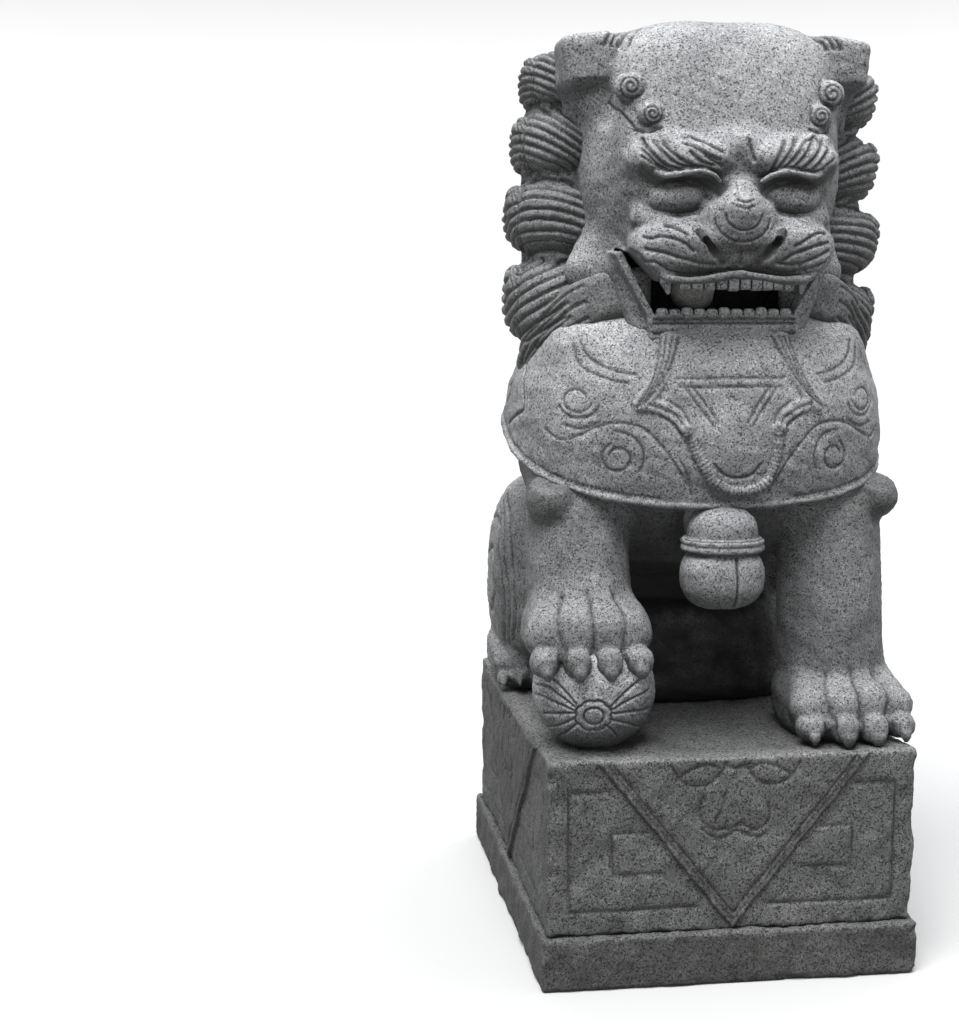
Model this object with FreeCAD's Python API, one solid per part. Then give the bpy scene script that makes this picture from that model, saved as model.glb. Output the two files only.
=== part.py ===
"""Guardian lion (foo dog) statue of carved grey granite, seated on a draped pedestal.

FreeCAD 1.1 script, millimetres, +Z up. The origin is the centre of the underside of the plinth. The lion
looks along -Y, so its own right side is at -X. It is the male of a pair: its right forepaw lies on a
brocade ball, and a loose stone ball is carved captive inside its open mouth, where it rolls from side to
side.

Every carved member is a solid of its own that stops at its neighbours' faces, and is written to
parts/NODE.step. Members are drawn on the lion's right and mirrored to its left where both are alike.
"""

import FreeCAD
import Part
import math
import os

from FreeCAD import Matrix, Vector

# ---- driving dimensions -------------------------------------------------------------------------------
WIDTH = 600.0  # plinth, across the lion
DEPTH = 760.0  # plinth, front to back
HEIGHT = 1480.0  # ground to the crown of the head
PLINTH_HEIGHT = 85.0
PLINTH_CHAMFER = 5.0
PLINTH_STEP = 10.0  # how far the plinth stands out past the pedestal on each side
PEDESTAL_TOP = 360.0  # the floor that the lion sits on
STONE_GAP = 2.0  # the lion stays this far inside the block that it was cut from

APRON_HALF = 0.355 * WIDTH  # half the top edge of the cloth triangle that hangs over each pedestal face
APRON_CLOTH = 4.0  # relief of the cloth
APRON_HEM = 7.0  # relief of its hem
HEM_WIDTH = 17.0
GROOVE = 4.0  # width of an engraved line
GROOVE_DEEP = 3.0

BALL_RADIUS = 97.0  # brocade ball under the right paw
BALL_SUNK = 6.0  # how far the ball is let into the pedestal
BIB_THICK = 9.0
BIB_EDGE = 736.0  # lowest point of the cloth's edge, at the front of the chest
BIB_FRONT = -313.0
BIB_BACK = -112.0
BIB_RISE = 0.717  # the cloth's edge climbs this much for each millimetre towards the back

JAW_UNDERSIDE = 995.0
MOUTH_FLOOR = 1030.0
MOUTH_CORNER = 1129.0
LIP = 1088.0  # underside of the upper lip
MOUTH_ROOF = 1104.0
MUZZLE_FRONT = -371.0
MUZZLE_HALF = 158.0
JAW_HALF = 112.0
JAW_WALL = 22.0
JAW_FRONT = -275.0
JAW_BACK = -125.0
MOUTH_BALL_RADIUS = 34.0  # loose ball in the mouth
MOUTH_BALL_TRAVEL = 88.0  # how far it rolls, side to side
MOUTH_BALL_BACK = -238.0  # how far forward it lies
CLEARANCE = 0.3  # round the loose ball
TOOTH_PITCH = 17.0
TEETH = 10
UPPER_TOOTH_TIP = 1069.0
LOWER_TOOTH = 8.0  # height of a lower tooth
FANG = 30.0
SNAIL_RADIUS = 48.0  # curls on the back of the mane
SNAIL_SUNK = 14.0  # how far their centres lie inside it

HALF_WIDTH = WIDTH / 2
HALF_DEPTH = DEPTH / 2
LEAST_CHIP = 400.0  # mm3: a cut leaves no piece smaller than this

CHEST_PLACE = (0.0, -62.0, 838.0)
CHEST_RADII = (297.0, 262.0, 232.0)

nodes = {}


# ---- helpers ------------------------------------------------------------------------------------------
def ellipsoid(place, radii, tilt=0.0):
    """A closed ellipsoid, tilted about its own X axis: a positive angle leans its top towards the front."""
    scale = Matrix()
    scale.scale(*radii)
    shape = Part.makeSphere(1.0).transformGeometry(scale)
    shape.rotate(Vector(0, 0, 0), Vector(1, 0, 0), tilt)
    shape.translate(Vector(*place))
    return shape


def rounded_box(across, along, up, radius):
    """A box over three (low, high) spans, with every edge rounded."""
    spans = (across, along, up)
    box = Part.makeBox(*[high - low for low, high in spans], Vector(*[low for low, high in spans]))
    return box.makeFillet(radius, box.Edges)


def prism(points, front, back):
    """A flat outline of (across, up) points, made solid between two places along Y."""
    corners = [Vector(u, back, v) for u, v in points]
    return Part.Face(Part.makePolygon(corners + corners[:1])).extrude(Vector(0, front - back, 0))


def limb(foot, top, foot_radius, top_radius):
    """A round, tapering limb between two points."""
    low = Part.Wire(Part.makeCircle(foot_radius, Vector(*foot)))
    high = Part.Wire(Part.makeCircle(top_radius, Vector(*top)))
    return Part.makeLoft([low, high], True)


def mirrored(shape):
    return shape.mirror(Vector(0, 0, 0), Vector(1, 0, 0))


def stone_block():
    """The block of stone over the pedestal that the lion was cut from."""
    half_x = HALF_WIDTH - STONE_GAP
    half_y = HALF_DEPTH - STONE_GAP
    return Part.makeBox(2 * half_x, 2 * half_y, HEIGHT - PEDESTAL_TOP, Vector(-half_x, -half_y, PEDESTAL_TOP))


def add(name, shape):
    """Keeps a member as a node, cut back to the faces of the members that are there already."""
    for other in nodes.values():
        if other.BoundBox.intersect(shape.BoundBox):
            shape = shape.cut(other)
        if shape.isNull() or not shape.Solids:
            raise ValueError(name + " was cut away")
    solids = [solid for solid in shape.Solids if solid.Volume > LEAST_CHIP]
    nodes[name] = solids[0] if len(solids) == 1 else Part.makeCompound(solids)


def add_pair(name, right_shape):
    """The same member on the lion's right (-X) and, mirrored, on its left."""
    add(name + "_right", right_shape)
    add(name + "_left", mirrored(right_shape))


# ---- base ---------------------------------------------------------------------------------------------
def on_face(shape, turn, out):
    """Stands a shape that was drawn against the plane y = 0 on one face of the pedestal."""
    placed = shape.copy()
    placed.translate(Vector(0, -out, 0))
    placed.rotate(Vector(0, 0, 0), Vector(0, 0, 1), turn)
    return placed


def groove_bars(points):
    """Engraved line along (across, up) points, as bars to be cut from the plane y = 0."""
    bars = []
    for (u0, v0), (u1, v1) in zip(points, points[1:]):
        corner = Vector(min(u0, u1) - GROOVE / 2, -GROOVE_DEEP, min(v0, v1) - GROOVE / 2)
        bars.append(Part.makeBox(abs(u1 - u0) + GROOVE, 2 * GROOVE_DEEP, abs(v1 - v0) + GROOVE, corner))
    return bars


def fret_lines(half):
    """The key fret beside the cloth triangle: an outer frame and an inner hook, on both sides."""
    low = PLINTH_HEIGHT + 44
    top = PEDESTAL_TOP - 42
    edge = half - 32
    hook = edge - 66
    hook_low = low + 58
    hook_top = top - 64
    outer = [(edge - 46, top), (edge, top), (edge, low), (58, low)]
    inner = [(hook - 52, hook_top), (hook, hook_top), (hook, hook_low), (hook - 66, hook_low)]
    return [outer, inner] + [[(-u, v) for u, v in line] for line in (outer, inner)]


def apron(half):
    """A triangle of cloth hanging over a pedestal face, with a raised hem along its two lower edges."""
    apex = PLINTH_HEIGHT + 3
    top = PEDESTAL_TOP - 2
    slope = math.hypot(half, top - apex)
    inset_across = HEM_WIDTH * slope / (top - apex)
    inset_up = HEM_WIDTH * slope / half
    cloth = prism([(-half, top), (half, top), (0, apex)], -APRON_CLOTH, 0)
    hem = prism([(half, top), (half - inset_across, top), (0, apex + inset_up), (0, apex)], -APRON_HEM, 0)
    return cloth.fuse([hem, mirrored(hem)]).removeSplitter()


def make_base():
    plinth = Part.makeBox(WIDTH, DEPTH, PLINTH_HEIGHT, Vector(-HALF_WIDTH, -HALF_DEPTH, 0))
    top_edges = [e for e in plinth.Edges if all(v.Z > PLINTH_HEIGHT / 2 for v in e.Vertexes)]
    add("plinth_course", plinth.makeChamfer(PLINTH_CHAMFER, top_edges))

    half_x = HALF_WIDTH - PLINTH_STEP
    half_y = HALF_DEPTH - PLINTH_STEP
    apron_end = APRON_HALF * half_y / half_x
    faces = {  # name: turn from the front, distance out, half width, half of the apron's top edge
        "front": (0, half_y, half_x, APRON_HALF),
        "left": (90, half_x, half_y, apron_end),
        "back": (180, half_y, half_x, APRON_HALF),
        "right": (270, half_x, half_y, apron_end)}
    pedestal = Part.makeBox(2 * half_x, 2 * half_y, PEDESTAL_TOP - PLINTH_HEIGHT,
                            Vector(-half_x, -half_y, PLINTH_HEIGHT))
    bars = [on_face(bar, turn, out) for turn, out, half, _ in faces.values()
            for line in fret_lines(half) for bar in groove_bars(line)]
    add("pedestal_block", pedestal.cut(bars))
    for side, (turn, out, _, apron_half) in faces.items():
        add("apron_" + side, on_face(apron(apron_half), turn, out))


# ---- body ---------------------------------------------------------------------------------------------
def make_body():
    block = stone_block()
    below = PEDESTAL_TOP - 60  # feet are drawn down to here and cut off flat at the pedestal
    add("chest", ellipsoid(CHEST_PLACE, CHEST_RADII))
    ball_level = PEDESTAL_TOP + BALL_RADIUS - BALL_SUNK
    add("brocade_ball", Part.makeSphere(BALL_RADIUS, Vector(-201, -268, ball_level)).common(block))
    add("hindquarters", ellipsoid((0, 130, 610), (235, 225, 290), 18).common(block))
    add_pair("haunch", ellipsoid((-216, 190, 548), (81, 172, 190)).common(block))
    add_pair("hind_foot", rounded_box((-296, -196), (62, 330), (below, 458), 40).common(block))
    add("forepaw_right", ellipsoid((-203, -250, 540), (93, 104, 74)))
    add("foreleg_right", limb((-205, -222, 560), (-207, -192, 800), 80, 90))
    add("forepaw_left", rounded_box((112, 297), (-360, -130), (below, 480), 52).common(block))
    add("foreleg_left", limb((207, -222, 470), (207, -192, 800), 88, 90))
    add("tail", ellipsoid((0, 296, 690), (96, 60, 240), 8).common(block))
    add("neck", rounded_box((-185, 185), (-215, 130), (930, 1060), 50))


def cloth_space():
    """Where the breast cloth lies: over a plane that falls towards the front, up to the collar."""
    collar = 1010.0
    corners = [Vector(-WIDTH, y, z) for y, z in (
        (BIB_FRONT, BIB_EDGE), (BIB_BACK, BIB_EDGE + BIB_RISE * (BIB_BACK - BIB_FRONT)),
        (BIB_BACK, collar), (-HALF_DEPTH, collar), (-HALF_DEPTH, BIB_EDGE))]
    return Part.Face(Part.makePolygon(corners + corners[:1])).extrude(Vector(2 * WIDTH, 0, 0))


def make_ornaments():
    rx, ry, rz = CHEST_RADII
    shell = ellipsoid(CHEST_PLACE, (rx + STONE_GAP / 4, ry + BIB_THICK, rz + BIB_THICK))
    add("breast_cloth", shell.common(cloth_space()))
    add("cloth_mask", ellipsoid((0, -320, 806), (60, 28, 58)))
    add("bell", ellipsoid((-4, -312, 640), (67, 52, 56)).fuse(ellipsoid((-4, -305, 690), (52, 44, 38))))
    add("bell_band", Part.makeTorus(58, 8, Vector(-4, -305, 677), Vector(0, 0, 1)))
    ribbon = rounded_box((-16, 16), (-14, 14), (-50, 50), 8)
    ribbon.rotate(Vector(0, 0, 0), Vector(0, 1, 0), 31)
    ribbon.rotate(Vector(0, 0, 0), Vector(1, 0, 0), -20)
    ribbon.translate(Vector(-122, -288, 930))
    add_pair("collar_ribbon", ribbon)


# ---- head ---------------------------------------------------------------------------------------------
def mouth_hollow():
    """The hollow in which the loose ball rolls, open to the front between the lips."""
    half = MOUTH_BALL_TRAVEL / 2 + MOUTH_BALL_RADIUS + CLEARANCE
    depth = 120
    inner = Part.makeBox(2 * half, depth, MOUTH_ROOF - MOUTH_FLOOR, Vector(-half, -322, MOUTH_FLOOR))
    front = Part.makeBox(4 * half, depth, LIP - MOUTH_FLOOR, Vector(-2 * half, -400, MOUTH_FLOOR))
    return inner.fuse(front)


def jaw_outline(inset, floor):
    """Front outline of the jaw: narrow at the chin, as wide as the muzzle at the corners of the mouth."""
    return [(inset - JAW_HALF, floor), (JAW_HALF - inset, floor),
            (MUZZLE_HALF - inset, MOUTH_CORNER), (inset - MUZZLE_HALF, MOUTH_CORNER)]


def teeth_row(front, back, low, high, gap):
    """A row of square teeth across the mouth."""
    first = -TEETH // 2
    return Part.makeCompound([
        Part.makeBox(TOOTH_PITCH - gap, back - front, high - low,
                     Vector((first + i) * TOOTH_PITCH + gap / 2, front, low)) for i in range(TEETH)])


def make_jaws():
    jaw = prism(jaw_outline(0, JAW_UNDERSIDE), JAW_FRONT, JAW_BACK)
    trough_back = MOUTH_BALL_BACK + MOUTH_BALL_RADIUS + 6
    trough = prism(jaw_outline(JAW_WALL, MOUTH_FLOOR), JAW_FRONT - 10, trough_back)
    add("lower_jaw", jaw.cut(trough))
    muzzle = rounded_box((-MUZZLE_HALF, MUZZLE_HALF), (MUZZLE_FRONT, -130), (LIP, 1206), 34)
    add("muzzle", muzzle.cut(mouth_hollow()))
    add("cranium", rounded_box((-212, 212), (-335, 30), (1172, HEIGHT), 96))
    add("throat", rounded_box((-158, 158), (-124, 30), (1056, 1190), 26))
    add("upper_teeth", teeth_row(-342, -324, UPPER_TOOTH_TIP, LIP, 1))
    fang = Part.makeCone(1.5, 9, FANG, Vector(-98, -326, LIP - FANG))
    add("fangs", Part.makeCompound([fang, mirrored(fang)]))
    add("lower_teeth", teeth_row(JAW_FRONT + 1, JAW_FRONT + 11, MOUTH_FLOOR, MOUTH_FLOOR + LOWER_TOOTH, 3))
    level = MOUTH_FLOOR + MOUTH_BALL_RADIUS + CLEARANCE
    add("mouth_ball", Part.makeSphere(MOUTH_BALL_RADIUS, Vector(-MOUTH_BALL_TRAVEL / 2, MOUTH_BALL_BACK, level)))


def make_face():
    add("nose", ellipsoid((0, -344, 1192), (54, 34, 40)))
    add_pair("eye", ellipsoid((-86, -316, 1214), (44, 28, 30)))
    add_pair("brow", ellipsoid((-92, -328, 1272), (84, 42, 30)))
    knobs = ellipsoid((-152, -322, 1364), (22, 22, 22)).fuse(ellipsoid((-126, -336, 1326), (22, 20, 20)))
    add_pair("brow_curls", knobs)
    add_pair("ear", rounded_box((-262, -166), (-226, -112), (1372, 1464), 24))


def make_mane():
    """Four locks down each side of the head, a thick mane behind it, and rows of snail curls on its back."""
    back = 168
    add("mane_back", rounded_box((-206, 206), (-60, back), (955, 1450), 70))
    levels = (1442, 1346, 1250, 1122, 966)  # where each lock ends and the next one down begins
    for row, (top, bottom) in enumerate(zip(levels, levels[1:]), 1):
        add_pair("mane_lock_%d" % row, rounded_box((-297, -190), (-152, 36), (bottom + 2, top), 24))
    snails = [Part.makeSphere(SNAIL_RADIUS, Vector(across, back - SNAIL_SUNK, level))
              for level in (1046, 1150, 1254, 1358) for across in (-112, 0, 112)]
    add("mane_back_curls", Part.makeCompound(snails))


# ---- output -------------------------------------------------------------------------------------------
def main():
    os.makedirs("parts", exist_ok=True)
    make_base()
    make_body()
    make_jaws()
    make_face()
    make_mane()
    make_ornaments()
    for name, shape in nodes.items():
        shape.exportStep(os.path.join("parts", name + ".step"))
        box = shape.optimalBoundingBox(False)
        print(name, shape.isValid(), len(shape.Solids), round(shape.Volume / 1e6, 3),
              [round(v) for v in (box.XMin, box.XMax, box.YMin, box.YMax, box.ZMin, box.ZMax)])


main()
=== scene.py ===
"""Guardian lion in grey granite: the carved surfaces, the stone, the light and the camera.

Metres, +Z up; the lion looks along -Y and its own right side is at -X. Each form is first raised in a
block of voxels, as a signed distance that is negative inside the stone, and becomes a mesh. Lines, strands
and curls are then cut into that mesh along its normals.
"""

import functools
import itertools
import math

import bpy
import numpy as np
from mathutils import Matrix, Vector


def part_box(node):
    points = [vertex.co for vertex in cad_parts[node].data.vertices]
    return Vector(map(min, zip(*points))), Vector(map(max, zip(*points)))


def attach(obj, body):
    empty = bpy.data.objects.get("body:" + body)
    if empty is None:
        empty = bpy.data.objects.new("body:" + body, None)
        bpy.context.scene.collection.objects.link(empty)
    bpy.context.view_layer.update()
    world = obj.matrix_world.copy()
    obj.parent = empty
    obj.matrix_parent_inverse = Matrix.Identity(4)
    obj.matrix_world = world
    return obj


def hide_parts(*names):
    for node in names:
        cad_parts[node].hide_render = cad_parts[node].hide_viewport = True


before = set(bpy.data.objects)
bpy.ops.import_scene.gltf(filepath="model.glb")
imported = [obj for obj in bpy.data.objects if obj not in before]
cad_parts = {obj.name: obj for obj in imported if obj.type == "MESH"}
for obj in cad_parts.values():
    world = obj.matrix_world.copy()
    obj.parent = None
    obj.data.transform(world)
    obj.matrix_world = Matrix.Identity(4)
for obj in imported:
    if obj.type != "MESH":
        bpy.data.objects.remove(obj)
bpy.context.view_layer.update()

import openvdb
from mathutils import Vector
from mathutils.bvhtree import BVHTree
from mathutils.kdtree import KDTree

TINY = 0.0017  # voxel of the teeth, the bell and the balls
FINE = 0.0021  # voxel of the face
MEDIUM = 0.0025  # voxel of the mane and the cloth
COARSE = 0.0032  # voxel of the body and the base

SIDES = (-1, 1)  # the lion's right, then its left
PEDESTAL_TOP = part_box("pedestal_block")[1].z
FOOT = PEDESTAL_TOP - 0.008  # the body reaches this far down, into the pedestal
CHEST = ((0, -0.062, 0.838), (0.306, 0.262, 0.238))  # the breast cloth's round form
CLOTH_EDGE = 0.738  # height of the cloth's edge at the front of the chest
CLOTH_FRONT = -0.300
CLOTH_RISE = 0.36  # how fast the edge climbs towards the back


# ---- forms: each is (distance function, lowest corner, highest corner) ----
def basis(turn):
    """Rotation matrix for turns in degrees about X, then Y, then Z."""
    matrix = np.eye(3)
    for axis, angle in enumerate(turn):
        c, s = math.cos(math.radians(angle)), math.sin(math.radians(angle))
        i, j = (axis + 1) % 3, (axis + 2) % 3
        step = np.eye(3)
        step[i, i] = step[j, j] = c
        step[j, i], step[i, j] = s, -s
        matrix = step @ matrix
    return matrix


def local(x, y, z, centre, turn):
    """Coordinates in a form's own turned axes."""
    x, y, z = x - centre[0], y - centre[1], z - centre[2]
    if turn is None:
        return x, y, z
    m = basis(turn)
    return [m[0, i] * x + m[1, i] * y + m[2, i] * z for i in range(3)]


def form(distance, low, high):
    """A form, from its distance function and the corners of the box it lies in."""
    return distance, np.array(low, float), np.array(high, float)


def meet(*distances):
    """The distance to what several forms have in common."""
    return functools.reduce(np.maximum, distances)


def egg(centre, radii, power=2.0, turn=None):
    """An ellipsoid, or with a higher power a block with rounded edges and crowned faces."""
    centre, radii = np.array(centre, float), np.array(radii, float)

    def distance(x, y, z):
        parts = [np.abs(c) / r for c, r in zip(local(x, y, z, centre, turn), radii)]
        total = sum(p ** power for p in parts) + 1e-9
        level = total ** (1 / power)
        slope = np.sqrt(sum((p ** (power - 1) / r) ** 2 for p, r in zip(parts, radii))) + 1e-6
        return (level - 1) * level ** (power - 1) / slope
    reach = radii if turn is None else np.abs(basis(turn)) @ radii
    return form(distance, centre - reach, centre + reach)


def limb(points, radii):
    """A round tube through points, its radius changing from one to the next."""
    points = np.array(points, float)
    radii = np.broadcast_to(np.array(radii, float), (len(points),))

    def distance(x, y, z):
        best = None
        for a, b, ra, rb in zip(points, points[1:], radii, radii[1:]):
            d = b - a
            px, py, pz = x - a[0], y - a[1], z - a[2]
            t = np.clip((px * d[0] + py * d[1] + pz * d[2]) / max(d @ d, 1e-12), 0, 1)
            gap = np.sqrt((px - t * d[0]) ** 2 + (py - t * d[1]) ** 2 + (pz - t * d[2]) ** 2)
            gap -= ra + t * (rb - ra)
            best = gap if best is None else np.minimum(best, gap)
        return best
    widest = radii[:, None]
    return form(distance, (points - widest).min(0), (points + widest).max(0))


def slab(low, high, edge):
    """A block with its edges rounded."""
    low, high = np.array(low, float), np.array(high, float)
    centre, half = (low + high) / 2, (high - low) / 2 - edge

    def distance(x, y, z):
        over = [np.abs(c - m) - h for c, m, h in zip((x, y, z), centre, half)]
        outside = np.sqrt(sum(np.maximum(v, 0) ** 2 for v in over))
        return outside + np.minimum(meet(*over), 0) - edge
    return form(distance, low, high)


def smooth_step(value, low, high):
    """Rises smoothly from 0 at the low value to 1 at the high one."""
    t = np.clip((value - low) / (high - low), 0, 1)
    return t * t * (3 - 2 * t)


def fall(value, low, high):
    """Falls smoothly from 1 at the low value to 0 at the high one."""
    return smooth_step(-value, -high, -low)


# ---- lines ----
def curve(points, spacing=0.0014):
    """A smooth line through points, as closely spaced places along it."""
    p = np.array(points, float)
    if len(p) == 2:
        p = np.linspace(p[0], p[1], 4)
    ends = np.vstack([2 * p[0] - p[1], p, 2 * p[-1] - p[-2]])
    line = []
    for a, b, c, d in zip(ends, ends[1:], ends[2:], ends[3:]):
        count = max(2, int(np.linalg.norm(c - b) / spacing))
        t = np.linspace(0, 1, count, endpoint=False)[:, None]
        line.append(0.5 * (2 * b + (c - a) * t + (2 * a - 5 * b + 4 * c - d) * t ** 2
                           + (3 * b - a - 3 * c + d) * t ** 3))
    return np.vstack(line + [p[-1:]])


def straight(points, spacing=0.0014):
    """Straight runs from point to point."""
    p = np.array(points, float)
    return np.vstack([curve([a, b], spacing) for a, b in zip(p, p[1:])])


def spiral(centre, radius, turns, start=0.0, hand=1, inner=0.12):
    """A flat spiral of (across, up) points about a centre, from its outer end inwards."""
    angles = np.linspace(0, 2 * math.pi * turns, int(60 * turns) + 8)
    reach = radius * (1 - (1 - inner) * angles / angles[-1])
    return np.column_stack([centre[0] + reach * np.cos(start + hand * angles),
                            centre[1] + reach * np.sin(start + hand * angles)])


def arc(centre, reach, start, end, count):
    """Part of an ellipse about a centre, as flat points."""
    return [(centre[0] + reach[0] * math.cos(a), centre[1] + reach[1] * math.sin(a))
            for a in np.linspace(start, end, count)]


def snail(centre, radius, axis, turns=2.0, start=0.0, hand=1):
    """A spiral that winds up a round knob: centre of the knob, its radius, and where it points."""
    axis = np.array(axis, float) / np.linalg.norm(axis)
    side = np.cross(axis, (0, 0, 1) if abs(axis[2]) < 0.9 else (0, 1, 0))
    side /= np.linalg.norm(side)
    up = np.cross(side, axis)
    flat = spiral((0, 0), 0.93, turns, start, hand, 0.1)
    height = np.sqrt(np.clip(1 - (flat ** 2).sum(1), 0, 1))
    return np.array(centre) + radius * (flat[:, :1] * side + flat[:, 1:] * up + height[:, None] * axis)


def mirror(points, side):
    """Points drawn on the lion's left (+X), on either side."""
    return [on(side, point) for point in points]


def on(side, point):
    """A point drawn on the lion's left, on either side."""
    return (side * point[0], *point[1:])


def mm(*numbers):
    """A line of (across, up) points in metres, from a plain row of millimetres."""
    return [(u / 1000, v / 1000) for u, v in zip(numbers[::2], numbers[1::2])]


# ---- clay: a block of voxels ----
class Clay:
    """Forms are added to the block and cut from it, with soft joints between them."""

    FAR = 0.12

    def __init__(self, low, high, size):
        self.size = size
        self.low = np.array(low, float)
        shape = np.ceil((np.array(high) - self.low) / size).astype(int) + 1
        self.axes = [(self.low[i] + size * np.arange(shape[i])).astype(np.float32) for i in range(3)]
        self.field = np.full(shape, self.FAR, np.float32)

    def window(self, low, high, margin):
        """The cells around a form, and their coordinates."""
        first = np.floor((low - margin - self.low) / self.size).astype(int)
        last = np.ceil((high + margin - self.low) / self.size).astype(int) + 1
        first = np.clip(first, 0, self.field.shape)
        last = np.clip(last, 0, self.field.shape)
        cells = tuple(slice(a, b) for a, b in zip(first, last))
        return cells, np.meshgrid(*[self.axes[i][cells[i]] for i in range(3)], indexing="ij", sparse=True)

    def add(self, shape, soft=0.0, sign=1):
        """Adds a form, with joints as wide as soft; with sign -1 it takes it away instead."""
        distance, low, high = shape
        cells, grid = self.window(low, high, soft + 2 * self.size)
        here = sign * self.field[cells]
        if here.size:
            new = distance(*grid)
            joined = np.minimum(here, new)
            if soft:
                joined -= np.clip(soft - np.abs(here - new), 0, None) ** 2 / (4 * soft)
            self.field[cells] = sign * joined

    def cut(self, shape, soft=0.0):
        self.add(shape, soft, -1)

    def keep(self, distance):
        """Keeps only what is inside a distance function, over the whole block."""
        grid = np.meshgrid(*self.axes, indexing="ij", sparse=True)
        self.field = np.maximum(self.field, distance(*grid)).astype(np.float32)

    def eggs(self, centre, radii, power=2.0, turn=None, soft=0.0, cut=False):
        """Adds or cuts an egg on the left, and its mirror image on the right."""
        for side in SIDES:
            tilt = turn and (turn[0], side * turn[1], side * turn[2])
            self.add(egg(on(side, centre), radii, power, tilt), soft, -1 if cut else 1)

    def limbs(self, points, radii, soft=0.0, cut=False):
        """Adds or cuts a limb on the left, and its mirror image on the right."""
        for side in SIDES:
            self.add(limb(mirror(points, side), radii), soft, -1 if cut else 1)

    def sample(self, places):
        """The distance at places in the block, between voxels."""
        spot = np.clip((places - self.low) / self.size, 0, np.array(self.field.shape) - 1.001)
        cell = spot.astype(int)
        part = spot - cell
        total = 0
        for corner in itertools.product((0, 1), repeat=3):
            weight = np.prod(np.where(corner, part, 1 - part), axis=1)
            total = total + weight * self.field[tuple((cell + corner).T)]
        return total

    def polygons(self):
        """Vertices and faces of the surface; the block is padded so that it always closes."""
        limit = 3 * self.size
        padded = np.pad(np.clip(self.field, -limit, limit), 1, constant_values=limit)
        grid = openvdb.FloatGrid(limit)
        grid.copyFromArray(padded)
        points, triangles, quads = grid.convertToPolygons(isovalue=0.0)
        return (points - 1) * self.size + self.low, triangles, quads


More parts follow.
